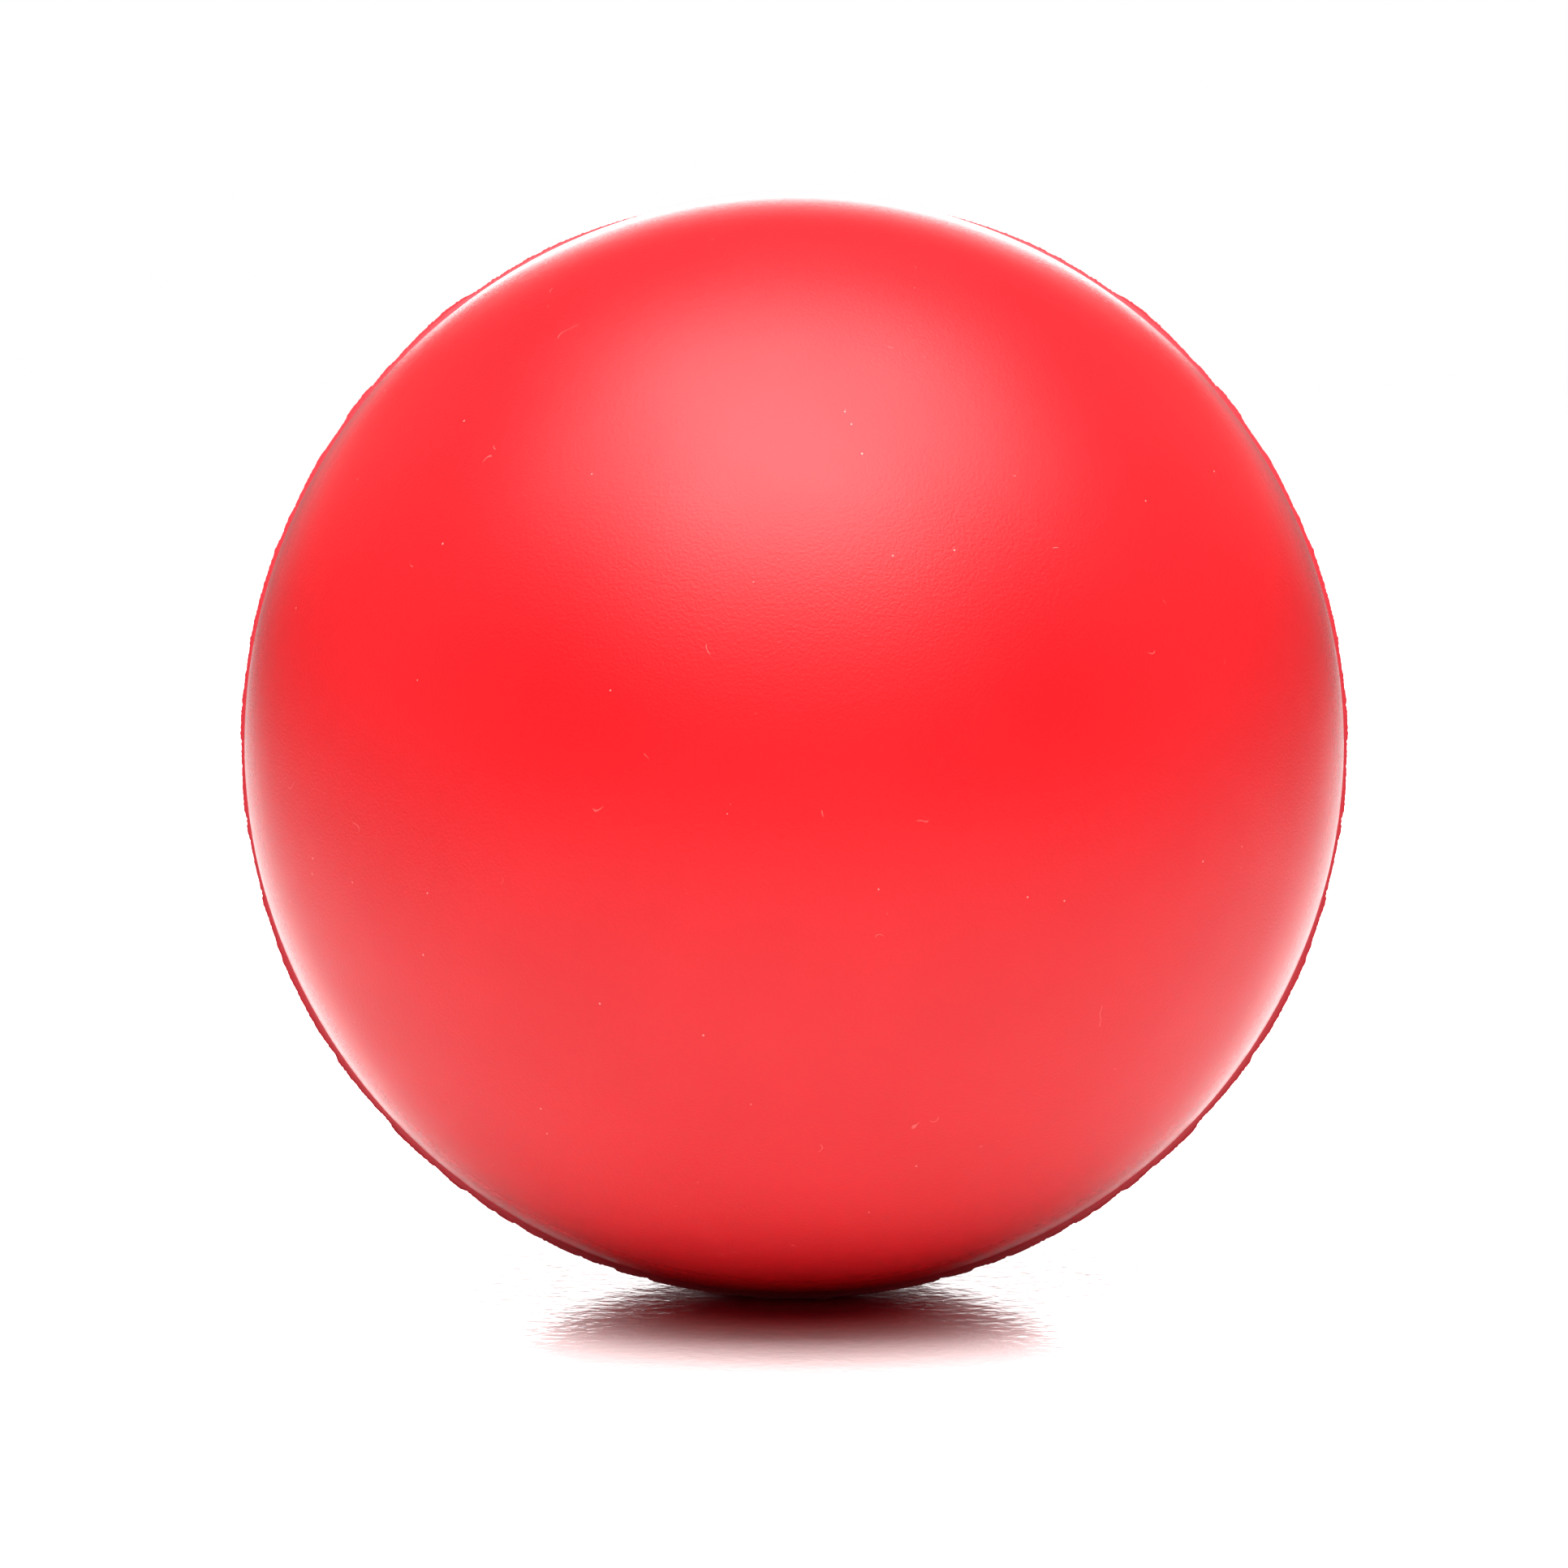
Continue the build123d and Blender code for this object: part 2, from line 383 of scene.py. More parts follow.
class Look:
    """The nodes of a material or a world under construction, with one method that adds any node."""

    def __init__(self, owner, place="Object"):
        self.owner = owner
        self.owner.use_nodes = True
        self.tree = owner.node_tree
        self.tree.nodes.clear()
        self.place = self.node("ShaderNodeTexCoord", output=place)

    def node(self, kind, settings=None, inputs=None, output=0):
        """Adds a node, sets its settings, then sets or links its inputs, and returns one output.

        An end node has no outputs, so for it the output is None and nothing is returned.
        """
        node = self.tree.nodes.new(kind)
        for key, value in (settings or {}).items():
            setattr(node, key, value)
        for key, value in (inputs or {}).items():
            if isinstance(value, Value):
                self.tree.links.new(value.socket, node.inputs[key])
            else:
                node.inputs[key].default_value = value
        return None if output is None else Value(self, node.outputs[output])

    def noise(self, size, detail=2.0, roughness=0.5, offset=0.0):
        """Cloudy noise from 0 to 1, whose features are about a size across."""
        place = self.node("ShaderNodeMapping", None, {"Vector": self.place, "Location": (offset,) * 3})
        return self.node("ShaderNodeTexNoise", None,
                         {"Vector": place, "Scale": 1 / size, "Detail": detail, "Roughness": roughness})

    def ramp(self, value, low, high, to_low=0.0, to_high=1.0):
        """A smooth step of a value between two limits."""
        inputs = {"Value": value, "From Min": low, "From Max": high, "To Min": to_low, "To Max": to_high}
        return self.node("ShaderNodeMapRange", {"interpolation_type": "SMOOTHSTEP"}, inputs)

    def mix(self, share, first, second):
        """A share of the second colour over the first."""
        first, second = [c if isinstance(c, Value) else (*c, 1.0) for c in (first, second)]
        inputs = {0: share, 6: first, 7: second}  # the factor and the two colour sockets
        return self.node("ShaderNodeMix", {"data_type": "RGBA"}, inputs, output=2)

    def satin(self, facing, edge):
        """A roughness that falls at a low angle, where the light skims over a satin skin's fine grain.

        At this blend the tilt is 1 less the cosine of the angle, so the fall goes from 65 to 87 degrees.
        """
        tilt = self.node("ShaderNodeLayerWeight", None, {"Blend": 0.5}, output="Facing")
        share = self.ramp(tilt, 0.58, 0.95)
        return facing * (1 - share) + share * edge

    def bump(self, height, distance, normal=None):
        """A bump of a height from 0 to 1, which stands for a distance in metres."""
        inputs = {"Height": height, "Distance": distance}
        if normal:
            inputs["Normal"] = normal
        return self.node("ShaderNodeBump", None, inputs)

    def surface(self, **sockets):
        """Ends the material in a Principled shader, whose sockets are named with underscores."""
        inputs = {key.replace("_", " "): value for key, value in sockets.items()}
        shader = self.node("ShaderNodeBsdfPrincipled", None, inputs)
        self.node("ShaderNodeOutputMaterial", None, {"Surface": shader}, output=None)
        return self.owner


def moulded_rubber(sizes):
    """Satin red rubber as it leaves the mould: fine grain, a slow unevenness, dust and a few hairs."""
    look = Look(bpy.data.materials.new("moulded_rubber"))
    cloud = look.noise(28 * MM, detail=3.0)
    grain = look.noise(sizes.grain, detail=2.0, roughness=0.6)
    dent = look.noise(7 * MM, detail=1.0, offset=3.0)
    # A speck of dust sits in the middle of some cells, and a hair runs where a noise crosses its mean.
    cell = look.node("ShaderNodeTexVoronoi", None, {"Vector": look.place, "Scale": 1 / (5 * MM)})
    dusty = look.ramp(look.noise(16 * MM, offset=7.0), 0.54, 0.58)
    dust = look.ramp(cell, 0.030, 0.050, 1.0, 0.0) * dusty
    bend = look.noise(5 * MM, detail=1.0, offset=11.0)
    hairy = look.ramp(look.noise(9 * MM, offset=17.0), 0.71, 0.74)
    hairs = look.ramp((bend - 0.5) * (bend - 0.5), 0.0, 0.0002, 1.0, 0.0) * hairy
    marks = dust + hairs * 0.4
    patchy = look.ramp(cloud, 0.3, 0.7)
    shade = look.mix(patchy, sizes.red, [c * 0.965 for c in sizes.red])
    colour = look.mix(marks * sizes.marks, shade, (1.0, 0.42, 0.38))
    rough = look.ramp(cloud, 0.3, 0.7, sizes.roughness - 0.015, sizes.roughness + 0.015) + marks * 0.1
    relief = look.bump(dent, 0.003 * MM)
    relief = look.bump(grain, sizes.grain_depth, relief)
    return look.surface(Base_Color=colour, Roughness=look.satin(rough, sizes.edge_roughness),
                        IOR=sizes.ior, Normal=relief)


def trimmed_rubber(sizes):
    """The lip: moulded red rubber on its flanks, and duller crimson with drag lines where it was cut."""
    look = Look(bpy.data.materials.new("trimmed_rubber"))
    cut = look.node("ShaderNodeAttribute", {"attribute_name": "cut"}, output="Fac")
    grain = look.noise(sizes.grain, detail=2.0, roughness=0.6)
    tears = look.noise(0.9 * MM, detail=3.0, roughness=0.7, offset=5.0)
    worn = look.ramp(cut, 0.0, 1.0, 0.8, 1.0) * look.ramp(tears, 0.2, 0.8, 0.75, 1.0)
    colour = look.mix(worn, sizes.red, sizes.cut_red)
    rough = look.ramp(cut, 0.0, 1.0, sizes.roughness, sizes.roughness + 0.2)
    relief = look.bump(tears * cut + grain * 0.2, 0.05 * MM)
    return look.surface(Base_Color=colour, Roughness=rough, IOR=sizes.ior, Normal=relief)


def dark_rubber(name, colour, roughness, grain):
    """Dark butyl with a fine grain, a little bloom, and a dull, uneven sheen."""
    look = Look(bpy.data.materials.new(name))
    cloud = look.noise(6 * MM, detail=4.0)
    tone = look.mix(look.ramp(cloud, 0.35, 0.75), colour, [c * 1.6 + 0.004 for c in colour])
    rough = look.ramp(cloud, 0.3, 0.7, roughness - 0.05, roughness + 0.08)
    relief = look.bump(look.noise(grain, detail=3.0, roughness=0.6), 0.02 * MM)
    return look.surface(Base_Color=tone, Roughness=rough, Normal=relief)


def gum_rubber():
    """Tan natural rubber of the linings: cloudy, speckled with filler, and matte."""
    look = Look(bpy.data.materials.new("gum_rubber"))
    cloud = look.noise(14 * MM, detail=5.0, roughness=0.6)
    tone = look.mix(look.ramp(cloud, 0.3, 0.7), (0.46, 0.27, 0.12), (0.60, 0.38, 0.18))
    fleck = look.ramp(look.noise(0.7 * MM, detail=1.0, offset=2.0), 0.66, 0.74)
    colour = look.mix(fleck * 0.5, tone, (0.72, 0.56, 0.36))
    rough = look.ramp(cloud, 0.3, 0.7, 0.62, 0.80)
    relief = look.bump(look.noise(0.8 * MM, detail=3.0), 0.03 * MM)
    return look.surface(Base_Color=colour, Roughness=rough, Normal=relief)


def nylon_thread():
    """Off-white nylon yarn: the twist runs slantwise round the thread, with a silky sheen."""
    look = Look(bpy.data.materials.new("nylon_thread"))
    along = look.node("ShaderNodeUVMap", {"uv_map": "thread"})
    twist = look.node("ShaderNodeTexWave", {"wave_type": "BANDS", "bands_direction": "DIAGONAL"},
                      {"Vector": along, "Scale": 1.0, "Distortion": 0.6, "Detail": 1.0}, output="Fac")
    tone = look.mix(twist, (0.62, 0.60, 0.54), (0.84, 0.83, 0.78))
    rough = look.ramp(twist, 0.0, 1.0, 0.55, 0.38)
    return look.surface(Base_Color=tone, Roughness=rough, Normal=look.bump(twist, 0.02 * MM))


def glossy_board(sizes):
    """The floor: pale glossy board with the shallow, close dimples of a cast sheet.

    Distances are from the ball's centre. Close to where the ball stands the floor is painted dark crimson,
    a painted contact shadow with painted red bounce light from the ball, and far out it fades away.
    """
    look = Look(bpy.data.materials.new("glossy_board"))
    dimples = look.noise(sizes.dimple, detail=2.0, roughness=0.55)
    pale = look.mix(dimples, (0.90, 0.90, 0.90), (0.92, 0.92, 0.92))
    away = look.node("ShaderNodeVectorMath", {"operation": "LENGTH"}, {0: look.place}, output="Value")
    # Painted shadow and painted bounce light: dark crimson round the point of contact, blending to the pale
    # board further out.
    colour = look.mix(look.ramp(away, sizes.painted_shade_core, sizes.painted_shade_edge), sizes.painted_bounce_shade, pale)
    solid = look.ramp(away, sizes.floor_solid, sizes.floor_radius * 0.98, 1.0, 0.0)
    relief = look.bump(dimples, sizes.dimple_depth)
    return look.surface(Base_Color=colour, Roughness=0.12, Alpha=solid, Normal=relief)


# Pieces --------------------------------------------------------------------------------------


def cover_rows(bead_width):
    """Angles off the valve of the rear cover's rim, on the skin and on the lining."""
    return acos(bead_width / 2 / BALL_RADIUS), acos(bead_width / 2 / LINING_RADIUS)


class PLAYBALL_OT_front_cover(Operator):
    """Makes the front cover: a closed cup whose skin and inner wall meet at the rim."""

    bl_idname = "playball.front_cover"
    bl_label = "Front Cover"

    def execute(self, context):
        sizes = context.scene.playball_cover
        rim, inner_rim = cover_rows(sizes.bead_width)
        profile = np.concatenate([
            arc(BALL_RADIUS, pi, pi - rim, count=178),
            arc(LINING_RADIUS, pi - inner_rim, pi, count=24),
        ])
        grid = wavy(turned(profile), sizes.waviness)
        piece, _ = skin("front_cover_skin", grid, wraps=False)
        rubber = bpy.data.materials["moulded_rubber"]
        finish_piece(piece, BALL_BODY, rubber, "front_cover", slot="red_cover")
        return {"FINISHED"}


class PLAYBALL_OT_rear_cover(Operator):
    """Makes the rear cover: a cup with a rounded hole for the valve and the mould's ring round it."""

    bl_idname = "playball.rear_cover"
    bl_label = "Rear Cover"

    def execute(self, context):
        sizes = context.scene.playball_cover
        rim, inner_rim = cover_rows(sizes.bead_width)
        hole = sizes.valve_hole
        hole_skin = hole + sizes.hole_round
        hole_top = sqrt((BALL_RADIUS - sizes.hole_round) ** 2 - hole_skin**2)
        ring = asin(sizes.witness_radius / BALL_RADIUS)
        groove = sizes.witness_groove / BALL_RADIUS
        dip = arc(BALL_RADIUS, ring - groove, ring + groove, count=15)
        across = np.linspace(-1, 1, len(dip))
        dip *= (1 - groove * np.sqrt(1 - across**2))[:, None]
        profile = np.concatenate([
            corner(hole_skin, hole_top, sizes.hole_round, pi, pi / 2),
            arc(BALL_RADIUS, asin(hole_skin / BALL_RADIUS), ring - groove, count=16)[1:-1],
            dip,
            arc(BALL_RADIUS, ring + groove, rim, count=140)[1:],
            arc(LINING_RADIUS, inner_rim, asin(hole / LINING_RADIUS), count=24),
        ])
        grid = wavy(turned(profile), sizes.waviness)
        piece, _ = skin("rear_cover_skin", grid, wraps=True)
        rubber = bpy.data.materials["moulded_rubber"]
        finish_piece(piece, BALL_BODY, rubber, "rear_cover", slot="red_cover")
        return {"FINISHED"}


# Mean height of the lip at angles off its top: low over the top, high where the mould leaked.
LIP_ANGLES = np.radians([0, 12, 19, 23, 35, 38, 43, 58, 65, 70, 76, 82, 98, 110,
                         116, 122, 128, 140, 168, 180])
LIP_HEIGHTS = MM * np.array([0.12, 0.15, 0.35, 0.75, 0.85, 1.3, 1.0, 0.95, 0.8, 1.05, 1.15, 0.8, 0.88, 1.05,
                             1.5, 1.35, 1.2, 1.38, 1.42, 1.5])


def lip_height(turn, sizes, tallest):
    """The lip's height at each turn off its top, the same on both sides.

    The mean height runs straight between a few angles. Knife cuts break it into facets: a facet
    goes straight from one scattered height to another, and its step to the next one is smoothed
    over a few columns. Small tears, a sum of quick sine waves, roughen the crest.
    """
    off_top = np.minimum(turn, 2 * pi - turn)
    rng = np.random.default_rng(sizes.seed)
    count = int(pi / sizes.facet)
    ends = np.concatenate([[0], np.sort(rng.uniform(0, pi, count - 1)), [pi]])
    mean = np.interp(ends, LIP_ANGLES, LIP_HEIGHTS)
    first = mean[:-1] * (1 + sizes.unevenness * rng.uniform(-1, 1, count))
    last = mean[1:] * (1 + sizes.unevenness * rng.uniform(-1, 1, count))
    cut = np.clip(np.searchsorted(ends, off_top, side="right") - 1, 0, count - 1)
    share = (off_top - ends[cut]) / (ends[cut + 1] - ends[cut])
    height = first[cut] * (1 - share) + last[cut] * share
    height = np.mean([np.roll(height, step) for step in range(-3, 4)], axis=0)
    waves = 24
    quick = rng.uniform(150, 900, waves)
    tears = np.sin(off_top[:, None] * quick + rng.uniform(0, 2 * pi, waves)).sum(1) / sqrt(waves)
    return np.clip(height + sizes.raggedness * tears, sizes.lowest, tallest)


class PLAYBALL_OT_parting_lip(Operator):
    """Makes the parting bead: it fills the gap between the covers and stands out as a trimmed lip."""

    bl_idname = "playball.parting_lip"
    bl_label = "Parting Lip"

    def execute(self, context):
        sizes = context.scene.playball_lip
        half = context.scene.playball_cover.bead_width / 2
        columns = 2880
        turn = np.linspace(0, 2 * pi, columns, endpoint=False)
        height = lip_height(turn, sizes, CREST_RADIUS - BALL_RADIUS)
        crest = sizes.crest_width / 2
        # One flank from the skin to the crest: shares of the lip's height, and distances from the
        # middle that close in on the crest as a hollow curve.
        rise = np.array([0, 0.06, 0.15, 0.3, 0.5, 0.75, 0.93, 1.0])
        hollow = 2.4
        flank = crest + (half - crest) * (1 - rise) ** hollow
        along = np.concatenate([[-half], -flank, [-0.4 * crest, 0.4 * crest], flank[::-1], [half]])
        share = np.concatenate([[0], rise, [1.0, 1.0], rise[::-1], [0]])
        share[[len(rise), -1 - len(rise)]] = 0.985  # both edges of the crest are a little worn
        shoulder = np.sqrt(BALL_RADIUS**2 - along**2)[:, None]
        radius = shoulder + share[:, None] * (height - (BALL_RADIUS - shoulder).clip(0))
        radius = radius.clip(None, CREST_RADIUS)
        radius[[0, -1]] = sqrt(LINING_RADIUS**2 - half**2)
        out = np.cos(turn)[:, None] * SEAM_TOP + np.sin(turn)[:, None] * ACROSS
        grid = radius[..., None] * out + along[:, None, None] * VALVE_AXIS
        piece, used = skin("parting_lip", grid, wraps=True)
        cut = np.broadcast_to((share > 0.8)[:, None], radius.shape).ravel()[used]
        layer = piece.data.attributes.new("cut", "FLOAT", "POINT")
        layer.data.foreach_set("value", cut.astype(np.float32))
        rubber = bpy.data.materials["trimmed_rubber"]
        finish_piece(piece, BALL_BODY, rubber, "seam_bead", slot="red_bead", sharp=radians(50))
        return {"FINISHED"}


class PLAYBALL_OT_valve(Operator):
    """Makes the valve: a housing with a skived flange, and a headed plug with a funnel for the needle."""

    bl_idname = "playball.valve"
    bl_label = "Needle Valve"

    def execute(self, context):
        v = context.scene.playball_valve
        rubber = bpy.data.materials["butyl_valve"]
        inside = BLADDER_RADIUS - v.bladder_wall
        seat = v.head_radius + v.head_gap
        bore = v.stem_radius + v.stem_gap
        seat_height = BALL_RADIUS - v.sink - v.head_thickness
        floor_height = BALL_RADIUS - v.barrel_length + v.end_wall
        face = sqrt(BALL_RADIUS**2 - v.barrel_radius**2)
        mouth = sqrt(BALL_RADIUS**2 - seat**2)
        edge = sqrt(inside**2 - v.flange_radius**2)
        under = inside - v.flange_thickness
        flange = arc(inside, asin(v.barrel_radius / inside), asin(v.flange_radius / inside), count=14)
        down = rounded([
            (v.flange_radius, edge, 0), (v.flange_radius, edge - v.flange_edge, 0.1 * MM),
            (v.barrel_radius, under, 1.2 * MM), (v.barrel_radius, BALL_RADIUS - v.barrel_length, 0.6 * MM),
            (v.end_hole, BALL_RADIUS - v.barrel_length, 0.2 * MM), (v.end_hole, floor_height, 0.1 * MM),
            (bore, floor_height, 0.3 * MM), (bore, seat_height, 0.15 * MM),
            (seat, seat_height, 0.1 * MM), (seat, mouth, 0.18 * MM),
            (v.barrel_radius, face, 0.12 * MM), (v.barrel_radius, sqrt(inside**2 - v.barrel_radius**2), 0),
        ])
        grid = turned(np.concatenate([flange[1:], down[1:]]), columns=192)
        housing, _ = skin("valve_housing_rubber", grid, wraps=True)
        finish_piece(housing, BALL_BODY, rubber, "valve_housing", slot="butyl_valve")

        top = BALL_RADIUS - v.sink
        end = seat_height - v.stem_length
        throat = top - (v.funnel_radius - v.needle_radius)
        outline = rounded([
            (v.head_radius, top, 0.35 * MM), (v.head_radius, seat_height, 0.12 * MM),
            (v.stem_radius, seat_height, 0.08 * MM), (v.stem_radius, end, 0.45 * MM),
            (v.core_radius, end, 0.12 * MM), (v.core_radius, end + v.core_length, 0.1 * MM),
            (v.needle_radius, end + v.core_length, 0.15 * MM), (v.needle_radius, throat, 0.35 * MM),
            (v.funnel_radius, top, 0.25 * MM),
        ])
        plug, _ = skin("valve_plug_rubber", turned(outline, columns=160), wraps=True)
        finish_piece(plug, PLUG_BODY, rubber, "valve_plug", slot="butyl_valve")
        return {"FINISHED"}


class PLAYBALL_OT_winding(Operator):
    """Makes the winding: one nylon thread wound over the bladder in great circles, clear of the valve."""

    bl_idname = "playball.winding"
    bl_label = "Thread Winding"

    def execute(self, context):
        sizes = context.scene.playball_winding
        steps = 120 * sizes.turns
        sides = 5
        t = np.arange(steps) / steps
        # The turn's own axis wanders in a closed spiral over a cap about the valve's axis, which
        # keeps each turn clear of the valve. The golden ratio keeps the turns from lining up.
        widest = pi / 2 - asin(sizes.clear_radius / WINDING_RADIUS) - sizes.thread / WINDING_RADIUS
        tilt = widest * np.sqrt(np.abs(np.sin(pi * t)) * 0.98 + 0.02)
        golden = 0.618
        swing = 2 * pi * np.round(golden * sizes.turns) * t
        lean = np.cos(swing)[:, None] * ACROSS + np.sin(swing)[:, None] * SEAM_TOP
        spin = np.cos(tilt)[:, None] * VALVE_AXIS + np.sin(tilt)[:, None] * lean
        # Two directions square to the turn's axis, and a point that runs round them.
        first = np.cross(spin, np.roll(spin, 1, axis=1))
        first /= np.linalg.norm(first, axis=1)[:, None]
        second = np.cross(spin, first)
        run = 2 * pi * sizes.turns * t
        away = np.cos(run)[:, None] * first + np.sin(run)[:, None] * second
        middle = (BLADDER_RADIUS + WINDING_RADIUS) / 2
        path = away * middle
        ahead = np.roll(path, -1, axis=0) - np.roll(path, 1, axis=0)
        ahead /= np.linalg.norm(ahead, axis=1)[:, None]
        side = np.cross(away, ahead)
        ring = 2 * pi * np.arange(sides) / sides
        offset = np.cos(ring)[None, :, None] * away[:, None] + np.sin(ring)[None, :, None] * side[:, None]
        grid = path[:, None] + offset * sizes.thread / 2
        piece, used = skin("thread_winding", grid, wraps=True)
        wrap = piece.data.uv_layers.new(name="thread")
        loops = np.empty(len(piece.data.loops), np.int32)
        piece.data.loops.foreach_get("vertex_index", loops)
        row, column = np.divmod(used[loops], sides)
        uv = np.stack([row * 2.0, column * 2 * pi / sides], axis=-1)
        wrap.data.foreach_set("uv", uv.astype(np.float32).ravel())
        nylon = bpy.data.materials["nylon_thread"]
        finish_piece(piece, BALL_BODY, nylon, "nylon_winding", slot="nylon_thread", sharp=radians(80))
        return {"FINISHED"}


class PLAYBALL_OT_finishes(Operator):
    """Makes the ball's materials, and gives the pieces that keep their frame's shape their finish."""

    bl_idname = "playball.finishes"
    bl_label = "Finishes"

    def execute(self, context):
        sizes = context.scene.playball_rubber
        moulded_rubber(sizes)
        trimmed_rubber(sizes)
        nylon_thread()
        gum = gum_rubber()
        bladder = dark_rubber("butyl_bladder", (0.018, 0.018, 0.020), roughness=0.55, grain=0.9 * MM)
        dark_rubber("butyl_valve", (0.007, 0.007, 0.008), roughness=0.36, grain=0.3 * MM)
        core = dark_rubber("soft_butyl", (0.09, 0.06, 0.04), roughness=0.6, grain=0.4 * MM)
        finishes = {"front_lining": gum, "rear_lining": gum, "valve_patch": gum, "bladder": bladder,
                    "plug_core": core}
        for node, material in finishes.items():
            frame["nodes"][node].data.materials.clear()
            frame["nodes"][node].data.materials.append(material)
        return {"FINISHED"}


def softbox(name, place, aim, width, height, power):
    """A rectangular area light that the camera doesn't see."""
    light = bpy.data.lights.new(name, "AREA")
    light.shape = "RECTANGLE"
    light.size = width
    light.size_y = height
    light.energy = power
    lamp = bpy.data.objects.new(name, light)
    lamp.location = place
    lamp.rotation_euler = (Vector(aim) - Vector(place)).to_track_quat("-Z", "Y").to_euler()
    lamp.visible_camera = False
    bpy.context.scene.collection.objects.link(lamp)


def overhead(elevation, distance):
    """A place over the front of the ball: degrees up from the floor's direction, and a distance."""
    angle = radians(elevation)
    return (0, -distance * cos(angle), distance * sin(angle))


def lay_floor(sizes):
    """Lays the floor, a thin disc that the ball stands on."""
    columns = 96
    turn = np.linspace(0, 2 * pi, columns, endpoint=False)
    edge = sizes.floor_radius * np.stack([np.cos(turn), np.sin(turn), np.zeros(columns)], axis=-1)
    top = np.array([0.0, 0.0, FLOOR_HEIGHT])
    under = np.array([0.0, 0.0, FLOOR_HEIGHT - 4 * MM])
    grid = np.stack([top + 0 * edge, top + edge, under + edge, under + 0 * edge])
    floor, _ = skin("floor", grid, wraps=False)
    floor.data.materials.append(glossy_board(sizes))
    floor.data.set_sharp_from_angle(angle=radians(30))


def hang_lights(sizes):
    """Hangs four boxes over the front, and lights the backdrop, both sides and the rear."""
    softbox("front_panel", overhead(38, 1.6), CENTRE, width=1.6, height=0.6, power=sizes.front_power)
    softbox("lower_key", overhead(57, 1.3), CENTRE, width=1.1, height=0.45, power=sizes.lower_key_power)
    softbox("key", overhead(77, 1.2), CENTRE, width=2.2, height=0.45, power=sizes.key_power)
    softbox("top", overhead(95, 1.2), CENTRE, width=1.2, height=0.4, power=sizes.top_power)
    behind = 2.8
    low = FLOOR_HEIGHT + 0.5
    high = FLOOR_HEIGHT + 1.2
    softbox("low_wall", (0, behind, low), (0, 0, low), width=1.05, height=0.7,
            power=sizes.low_wall_power)
    softbox("high_wall", (0, behind, high), (0, 0, high), width=2.4, height=0.6,
            power=sizes.high_wall_power)
    for side in (-1, 1):
        wing = 1.4 * side
        softbox("wide_wall", (wing, behind, low), (wing, 0, low), width=1.7, height=0.6,
                power=sizes.wide_wall_power)
        softbox("side_panel", (1.9 * side, 0, 0.6), CENTRE, width=1.4, height=1.2, power=sizes.side_power)
        softbox("rear_panel", (1.5 * side, 1.3, 0.9), CENTRE, width=1.0, height=1.0, power=sizes.rear_power)


def paint_room(sizes):
    """Paints the room: plain white to the camera, and a dim fill and a glow to everything else.

    Both depend on the sine of the height above the horizon. The fill grows from the horizon up.
    The glow, from the white sweep beyond the floor's edge, comes from below and ends just above it.
    """
    room = Look(bpy.data.worlds.new("white_room"), place="Generated")
    height = room.node("ShaderNodeSeparateXYZ", None, {0: room.place}, output="Z")
    rising = {"Value": height, "From Max": sizes.fill_rise, "To Max": sizes.fill}
    falling = {"Value": height, "From Min": -0.05, "From Max": 0.1, "To Min": sizes.glow, "To Max": 0.0}
    fill = room.node("ShaderNodeMapRange", None, rising)
    glow = room.node("ShaderNodeMapRange", None, falling)
    dim = room.node("ShaderNodeBackground", None, {"Color": WHITE, "Strength": fill + glow})
    seen = room.node("ShaderNodeBackground", None, {"Color": WHITE, "Strength": 1.0})
    by_camera = room.node("ShaderNodeLightPath", output="Is Camera Ray")
    both = room.node("ShaderNodeMixShader", None, {0: by_camera, 1: dim, 2: seen})
    room.node("ShaderNodeOutputWorld", None, {"Surface": both}, output=None)
    bpy.context.scene.world = room.owner


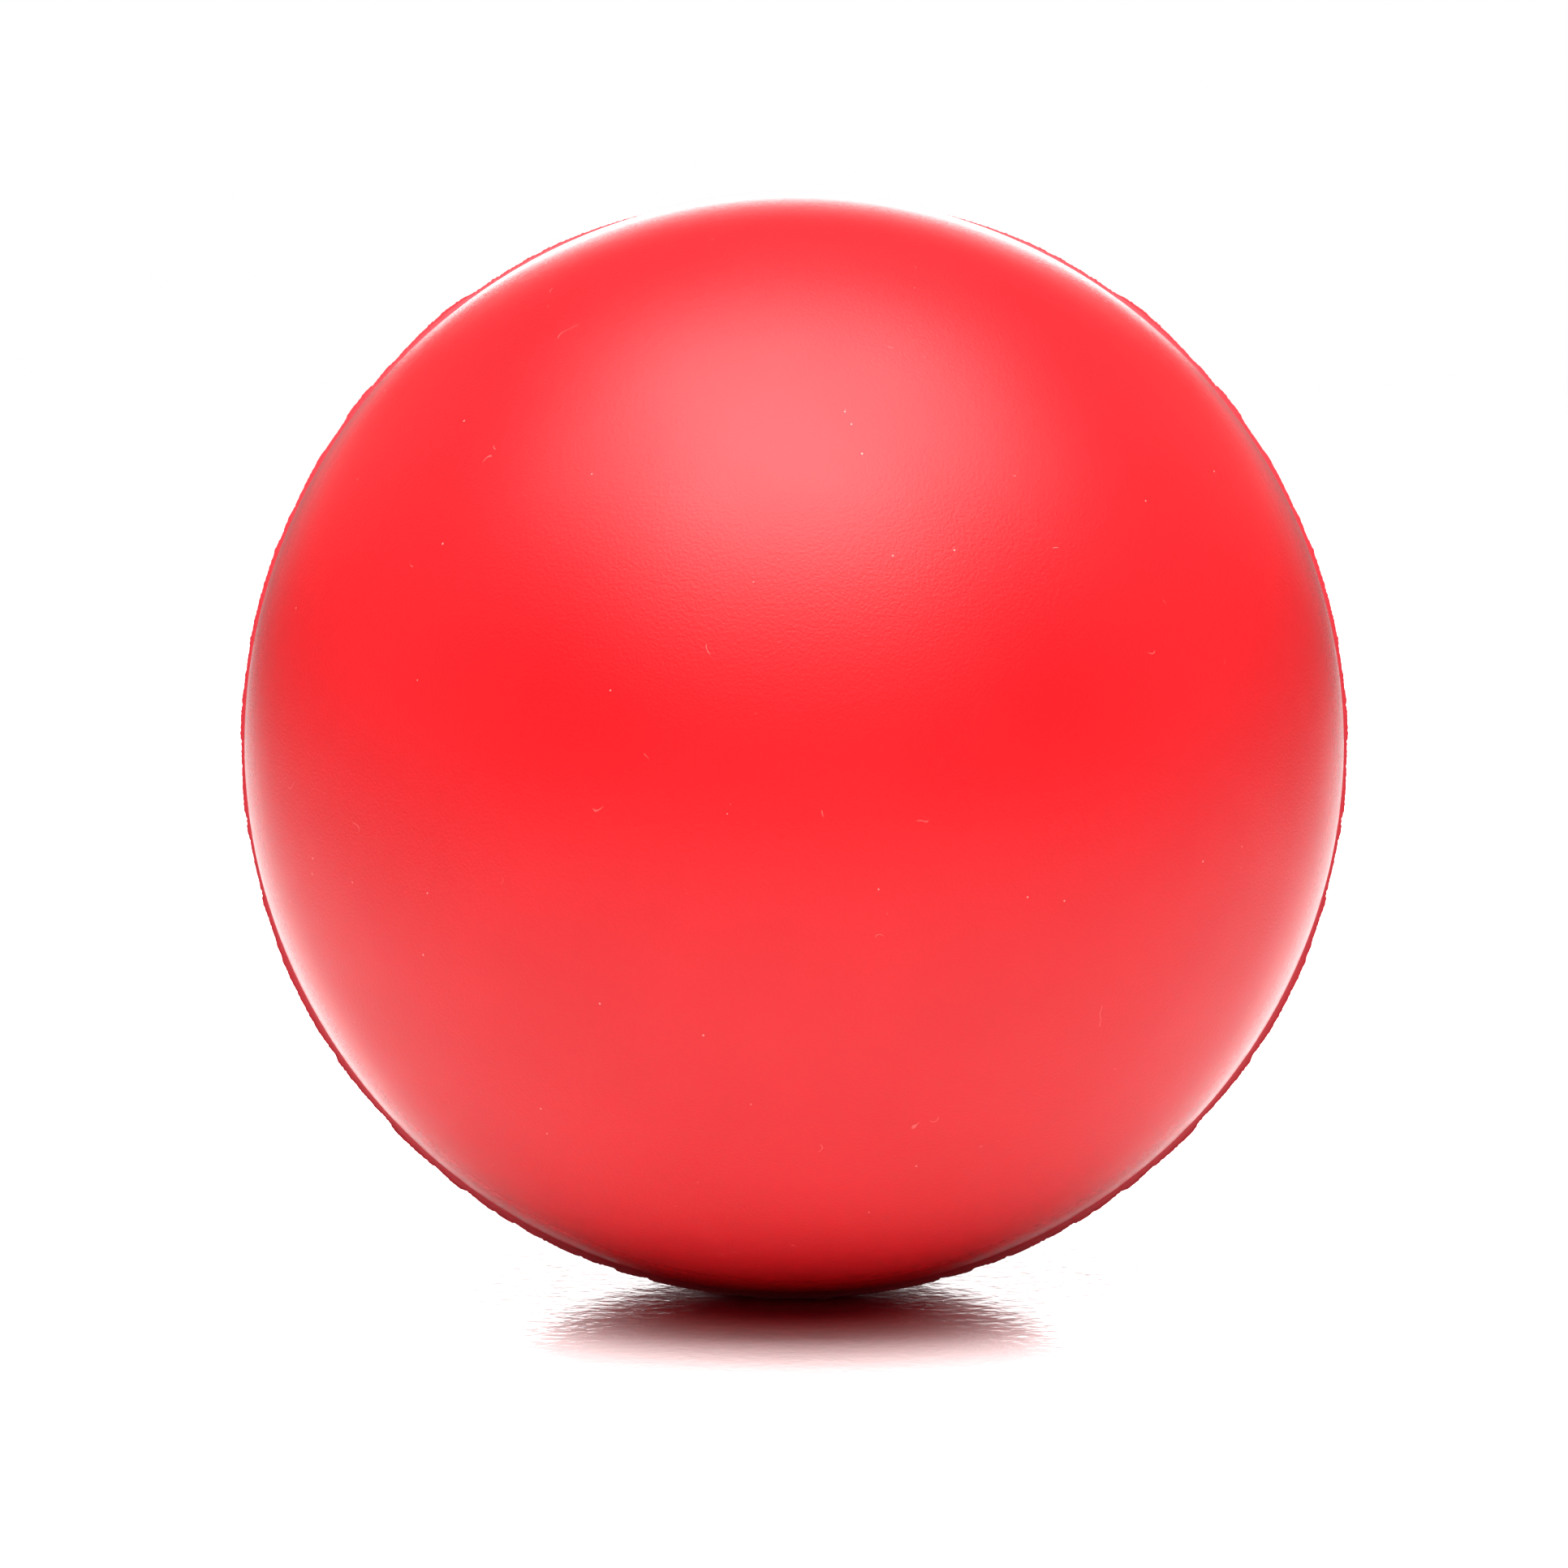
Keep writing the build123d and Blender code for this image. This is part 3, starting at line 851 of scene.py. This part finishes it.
def set_camera(sizes):
    """Sets the camera in front of the ball and a little above it, with a long lens."""
    camera = bpy.data.cameras.new("camera")
    camera.sensor_width = 36.0
    angle = asin(BALL_RADIUS / sizes.camera_distance)
    camera.lens = camera.sensor_width / 2 * sizes.ball_share / tan(angle)
    camera.clip_start = 0.05
    camera.clip_end = 50.0
    eye = bpy.data.objects.new("camera", camera)
    back = Vector((0, -cos(sizes.camera_elevation), sin(sizes.camera_elevation)))
    eye.location = back * sizes.camera_distance
    aim = Vector((-sizes.aim_left, 0, -sizes.aim_drop))
    eye.rotation_euler = (aim - eye.location).to_track_quat("-Z", "Y").to_euler()
    scene = bpy.context.scene
    scene.collection.objects.link(eye)
    scene.camera = eye
    scene.view_settings.view_transform = "Standard"
    scene.view_settings.gamma = sizes.gamma


class PLAYBALL_OT_stage(Operator):
    """Makes the stage: a pale glossy floor, soft lights, a white room and the camera."""

    bl_idname = "playball.stage"
    bl_label = "Stage"

    def execute(self, context):
        sizes = context.scene.playball_stage
        lay_floor(sizes)
        hang_lights(sizes)
        paint_room(sizes)
        set_camera(sizes)
        return {"FINISHED"}


class PLAYBALL_PT_panel(Panel):
    """Lists the ball's pieces and its stage in the 3D view's sidebar."""

    bl_idname = "PLAYBALL_PT_panel"
    bl_label = "Playground Ball"
    bl_space_type = "VIEW_3D"
    bl_region_type = "UI"
    bl_category = "Playground Ball"

    def draw(self, context):
        for operator in OPERATORS:
            self.layout.operator(operator.bl_idname)
        for group in GROUPS:
            settings = getattr(context.scene, group)
            box = self.layout.box()
            for name in settings.bl_rna.properties.keys():
                if name not in {"rna_type", "name"}:
                    box.prop(settings, name)


GROUPS = {"playball_cover": CoverSizes, "playball_lip": LipSizes, "playball_valve": ValveSizes,
          "playball_winding": WindingSizes, "playball_rubber": RubberLook, "playball_stage": StageSizes}
OPERATORS = (PLAYBALL_OT_finishes, PLAYBALL_OT_stage, PLAYBALL_OT_front_cover, PLAYBALL_OT_rear_cover,
             PLAYBALL_OT_parting_lip, PLAYBALL_OT_valve, PLAYBALL_OT_winding)


def register():
    for cls in (*GROUPS.values(), *OPERATORS, PLAYBALL_PT_panel):
        bpy.utils.register_class(cls)
    for name, cls in GROUPS.items():
        setattr(bpy.types.Scene, name, PointerProperty(type=cls))


def unregister():
    for name in GROUPS:
        delattr(bpy.types.Scene, name)
    for cls in reversed((*GROUPS.values(), *OPERATORS, PLAYBALL_PT_panel)):
        bpy.utils.unregister_class(cls)


def main():
    register()
    for operator in OPERATORS:
        folder, name = operator.bl_idname.split(".")
        getattr(getattr(bpy.ops, folder), name)()


if __name__ == "__main__":
    main()
